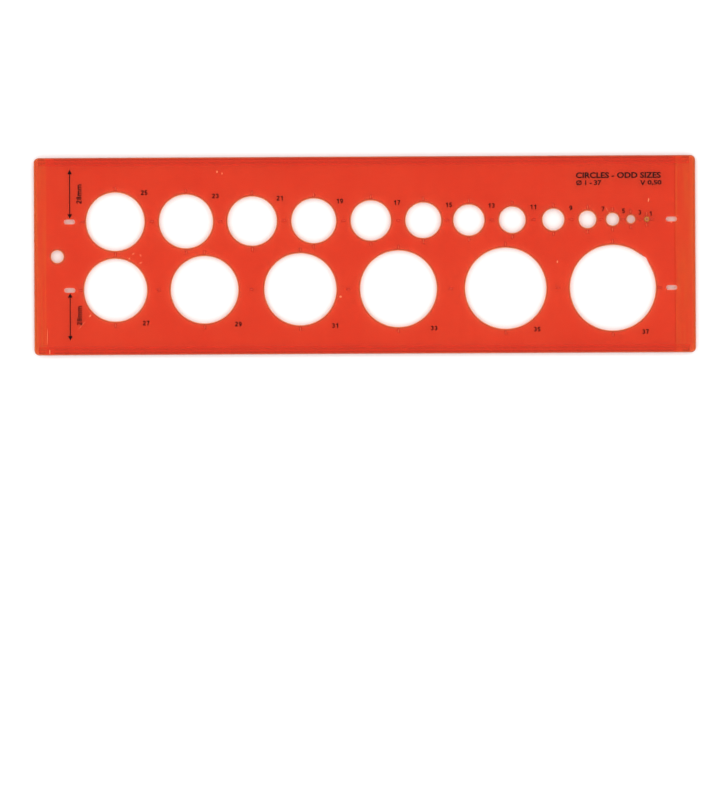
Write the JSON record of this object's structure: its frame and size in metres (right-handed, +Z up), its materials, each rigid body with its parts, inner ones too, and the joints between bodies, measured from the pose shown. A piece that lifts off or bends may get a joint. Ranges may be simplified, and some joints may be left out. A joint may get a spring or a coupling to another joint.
{
  "type": "circle template",
  "caption": "Translucent orange-red plastic drafting template with two rows of graded circle cut-outs, a skid rail under each long edge, and stamped sizes.",
  "frame": {"origin": "centre of the plate in plan, at the height of the paper that the skid rails rest on", "axes": "+X along the plate, away from the hanging hole; +Y across it, towards the row of small circles; +Z up, out of the printed face"},
  "size_m": [0.29, 0.0864, 0.0022],
  "materials": {
    "plate_plastic": "glossy translucent fluorescent orange-red, lightly scuffed",
    "rail_plastic": "glossy translucent orange-red, redder where it is thicker",
    "stamp_ink": "matt black hot-stamped film"
  },
  "bodies": {
    "root": {"template_plate": "plate_plastic", "upper_skid_rail": "rail_plastic", "lower_skid_rail": "rail_plastic", "lower_arrow": "stamp_ink", "lower_legend_digit_2": "stamp_ink", "lower_legend_digit_8": "stamp_ink", "lower_legend_letter_m_1": "stamp_ink", "lower_legend_letter_m_2": "stamp_ink", "mark_1": "stamp_ink", "mark_11_ones": "stamp_ink", "mark_11_tens": "stamp_ink", "mark_13_ones": "stamp_ink", "mark_13_tens": "stamp_ink", "mark_15_ones": "stamp_ink", "mark_15_tens": "stamp_ink", "mark_17_ones": "stamp_ink", "mark_17_tens": "stamp_ink", "mark_19_ones": "stamp_ink", "mark_19_tens": "stamp_ink", "mark_21_ones": "stamp_ink", "mark_21_tens": "stamp_ink", "mark_23_ones": "stamp_ink", "mark_23_tens": "stamp_ink", "mark_25_ones": "stamp_ink", "mark_25_tens": "stamp_ink", "mark_27_ones": "stamp_ink", "mark_27_tens": "stamp_ink", "mark_29_ones": "stamp_ink", "mark_29_tens": "stamp_ink", "mark_3": "stamp_ink", "mark_31_ones": "stamp_ink", "mark_31_tens": "stamp_ink", "mark_33_ones": "stamp_ink", "mark_33_tens": "stamp_ink", "mark_35_ones": "stamp_ink", "mark_35_tens": "stamp_ink", "mark_37_ones": "stamp_ink", "mark_37_tens": "stamp_ink", "mark_5": "stamp_ink", "mark_7": "stamp_ink", "mark_9": "stamp_ink", "upper_arrow": "stamp_ink", "upper_legend_digit_2": "stamp_ink", "upper_legend_digit_8": "stamp_ink", "upper_legend_letter_m_1": "stamp_ink", "upper_legend_letter_m_2": "stamp_ink"}
  },
  "joints": []
}
